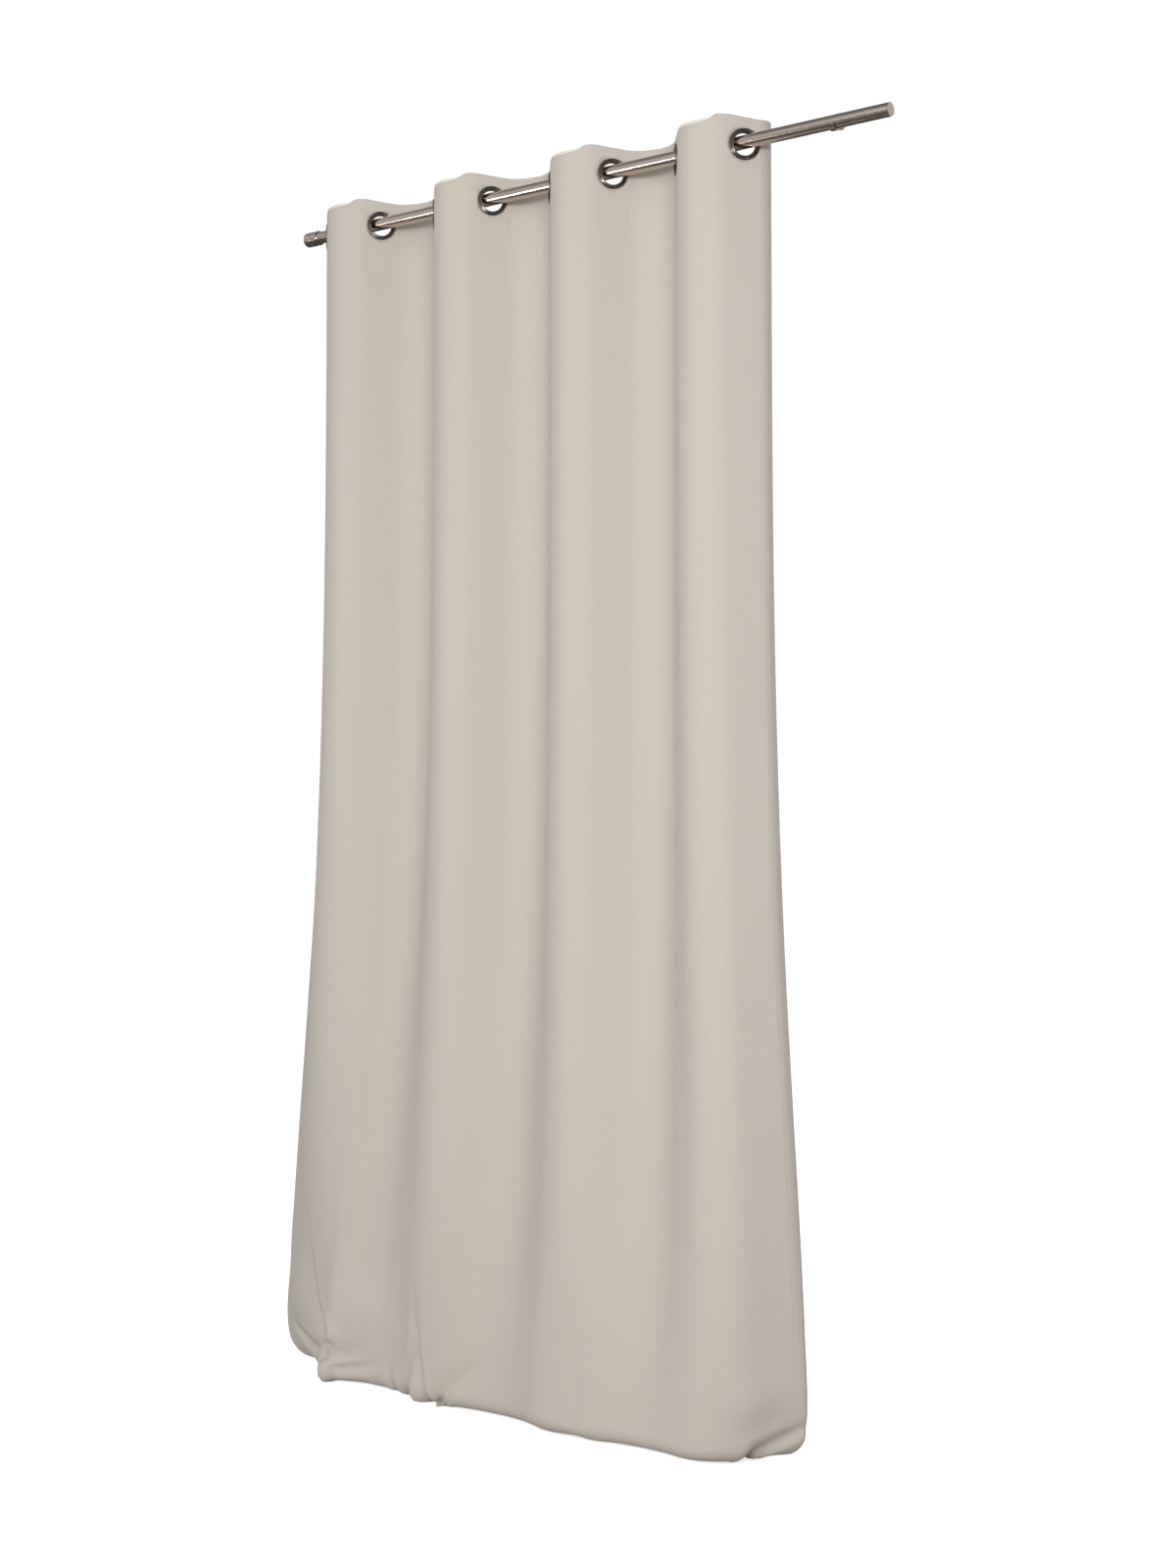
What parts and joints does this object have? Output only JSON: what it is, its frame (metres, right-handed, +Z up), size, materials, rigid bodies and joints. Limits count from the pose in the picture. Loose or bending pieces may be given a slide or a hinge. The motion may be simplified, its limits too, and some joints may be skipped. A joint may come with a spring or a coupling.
{
  "type": "eyelet curtain on a rod",
  "caption": "Floor-length eyelet curtain panel hanging in soft folds on a brushed metal rod held by slim wall brackets; the cloth draws along the rod towards one end.",
  "frame": {"origin": "centre of the left bracket's wall plate, on its back face against the wall", "axes": "+X along the rod to the right as seen from the room, +Y into the wall, +Z up"},
  "size_m": [1.5719, 0.203, 2.452],
  "materials": {
    "brushed_steel": "satin",
    "dark_nickel": "polished",
    "zinc_screw": "satin",
    "curtain_cloth": "matte",
    "buckram": "matte"
  },
  "bodies": {
    "root": {"rod_tube": "brushed_steel", "end_cap_left": "brushed_steel", "end_plug_right": "brushed_steel", "wall_plate_left": "brushed_steel", "bracket_arm_left": "brushed_steel", "rod_cradle_left": "brushed_steel", "wall_screw_left_l": "zinc_screw", "wall_screw_left_r": "zinc_screw", "wall_plate_right": "brushed_steel", "bracket_arm_right": "brushed_steel", "rod_cradle_right": "brushed_steel", "wall_screw_right_l": "zinc_screw", "wall_screw_right_r": "zinc_screw"},
    "clamp_left": {"clamp_screw_left": "dark_nickel"},
    "clamp_right": {"clamp_screw_right": "dark_nickel"},
    "fold_1": {"curtain_fold_1": "curtain_cloth", "header_tape_1": "buckram"},
    "eyelet_1": {"eyelet_front_1": "dark_nickel", "eyelet_back_1": "dark_nickel"},
    "fold_2": {"curtain_fold_2": "curtain_cloth", "header_tape_2": "buckram"},
    "eyelet_2": {"eyelet_front_2": "dark_nickel", "eyelet_back_2": "dark_nickel"},
    "fold_3": {"curtain_fold_3": "curtain_cloth", "header_tape_3": "buckram"},
    "eyelet_3": {"eyelet_front_3": "dark_nickel", "eyelet_back_3": "dark_nickel"},
    "fold_4": {"curtain_fold_4": "curtain_cloth", "header_tape_4": "buckram"},
    "eyelet_4": {"eyelet_front_4": "dark_nickel", "eyelet_back_4": "dark_nickel"},
    "fold_5": {"curtain_fold_5": "curtain_cloth", "header_tape_5": "buckram"},
    "eyelet_5": {"eyelet_front_5": "dark_nickel", "eyelet_back_5": "dark_nickel"},
    "fold_6": {"curtain_fold_6": "curtain_cloth", "header_tape_6": "buckram"},
    "eyelet_6": {"eyelet_front_6": "dark_nickel", "eyelet_back_6": "dark_nickel"},
    "fold_7": {"curtain_fold_7": "curtain_cloth", "header_tape_7": "buckram"},
    "eyelet_7": {"eyelet_front_7": "dark_nickel", "eyelet_back_7": "dark_nickel"},
    "fold_8": {"curtain_fold_8": "curtain_cloth", "header_tape_8": "buckram"},
    "eyelet_8": {"eyelet_front_8": "dark_nickel", "eyelet_back_8": "dark_nickel"}
  },
  "joints": [
    {"name": "swing", "type": "hinge", "parent": "root", "child": "fold_1", "pos_m": [0, -0.12, -0.044], "axis": [-1, 0, 0], "range_deg": [0, 12]},
    {"name": "draw", "type": "slide", "parent": "fold_1", "child": "fold_8", "axis": [-1, 0, 0], "range_m": [0, 0.68], "deforming": ["curtain_fold_1", "header_tape_1", "curtain_fold_2", "header_tape_2", "curtain_fold_3", "header_tape_3", "curtain_fold_4", "header_tape_4", "curtain_fold_5", "header_tape_5", "curtain_fold_6", "header_tape_6", "curtain_fold_7", "header_tape_7", "curtain_fold_8", "header_tape_8"]},
    {"name": "gather_2", "type": "slide", "parent": "fold_1", "child": "fold_2", "axis": [-1, 0, 0], "range_m": [0, 0.09724]},
    {"name": "gather_3", "type": "slide", "parent": "fold_1", "child": "fold_3", "axis": [-1, 0, 0], "range_m": [0, 0.19439]},
    {"name": "gather_4", "type": "slide", "parent": "fold_1", "child": "fold_4", "axis": [-1, 0, 0], "range_m": [0, 0.29153]},
    {"name": "gather_5", "type": "slide", "parent": "fold_1", "child": "fold_5", "axis": [-1, 0, 0], "range_m": [0, 0.38867]},
    {"name": "gather_6", "type": "slide", "parent": "fold_1", "child": "fold_6", "axis": [-1, 0, 0], "range_m": [0, 0.48581]},
    {"name": "gather_7", "type": "slide", "parent": "fold_1", "child": "fold_7", "axis": [-1, 0, 0], "range_m": [0, 0.58296]},
    {"name": "eyelet_turn_1", "type": "hinge", "parent": "fold_1", "child": "eyelet_1", "pos_m": [-0.03084, -0.12, -0.048], "axis": [0, 0, 1], "range_deg": [-23.6, 0]},
    {"name": "eyelet_turn_2", "type": "hinge", "parent": "fold_2", "child": "eyelet_2", "pos_m": [0.11916, -0.12, -0.048], "axis": [0, 0, 1], "range_deg": [0, 23.6]},
    {"name": "eyelet_turn_3", "type": "hinge", "parent": "fold_3", "child": "eyelet_3", "pos_m": [0.26916, -0.12, -0.048], "axis": [0, 0, 1], "range_deg": [-23.6, 0]},
    {"name": "eyelet_turn_4", "type": "hinge", "parent": "fold_4", "child": "eyelet_4", "pos_m": [0.41916, -0.12, -0.048], "axis": [0, 0, 1], "range_deg": [0, 23.6]},
    {"name": "eyelet_turn_5", "type": "hinge", "parent": "fold_5", "child": "eyelet_5", "pos_m": [0.56916, -0.12, -0.048], "axis": [0, 0, 1], "range_deg": [-23.6, 0]},
    {"name": "eyelet_turn_6", "type": "hinge", "parent": "fold_6", "child": "eyelet_6", "pos_m": [0.71916, -0.12, -0.048], "axis": [0, 0, 1], "range_deg": [0, 23.6]},
    {"name": "eyelet_turn_7", "type": "hinge", "parent": "fold_7", "child": "eyelet_7", "pos_m": [0.86916, -0.12, -0.048], "axis": [0, 0, 1], "range_deg": [-23.6, 0]},
    {"name": "eyelet_turn_8", "type": "hinge", "parent": "fold_8", "child": "eyelet_8", "pos_m": [1.01916, -0.12, -0.048], "axis": [0, 0, 1], "range_deg": [0, 23.6]},
    {"name": "clamp_turn_left", "type": "hinge", "parent": "root", "child": "clamp_left", "pos_m": [0, -0.098, -0.047], "axis": [0, -1, 0], "range_deg": [-720, 0]},
    {"name": "clamp_turn_right", "type": "hinge", "parent": "root", "child": "clamp_right", "pos_m": [1.20916, -0.098, -0.047], "axis": [0, -1, 0], "range_deg": [-720, 0]}
  ],
  "couplings": [
    {"joint": "gather_2", "follows": "draw", "ratio": 0.14286},
    {"joint": "gather_3", "follows": "draw", "ratio": 0.28571},
    {"joint": "gather_4", "follows": "draw", "ratio": 0.42857},
    {"joint": "gather_5", "follows": "draw", "ratio": 0.57143},
    {"joint": "gather_6", "follows": "draw", "ratio": 0.71429},
    {"joint": "gather_7", "follows": "draw", "ratio": 0.85714},
    {"joint": "eyelet_turn_1", "follows": "draw", "rad_per_m": -0.6039},
    {"joint": "eyelet_turn_2", "follows": "draw", "rad_per_m": 0.6039},
    {"joint": "eyelet_turn_3", "follows": "draw", "rad_per_m": -0.6039},
    {"joint": "eyelet_turn_4", "follows": "draw", "rad_per_m": 0.6039},
    {"joint": "eyelet_turn_5", "follows": "draw", "rad_per_m": -0.6039},
    {"joint": "eyelet_turn_6", "follows": "draw", "rad_per_m": 0.6039},
    {"joint": "eyelet_turn_7", "follows": "draw", "rad_per_m": -0.6039},
    {"joint": "eyelet_turn_8", "follows": "draw", "rad_per_m": 0.6039}
  ]
}
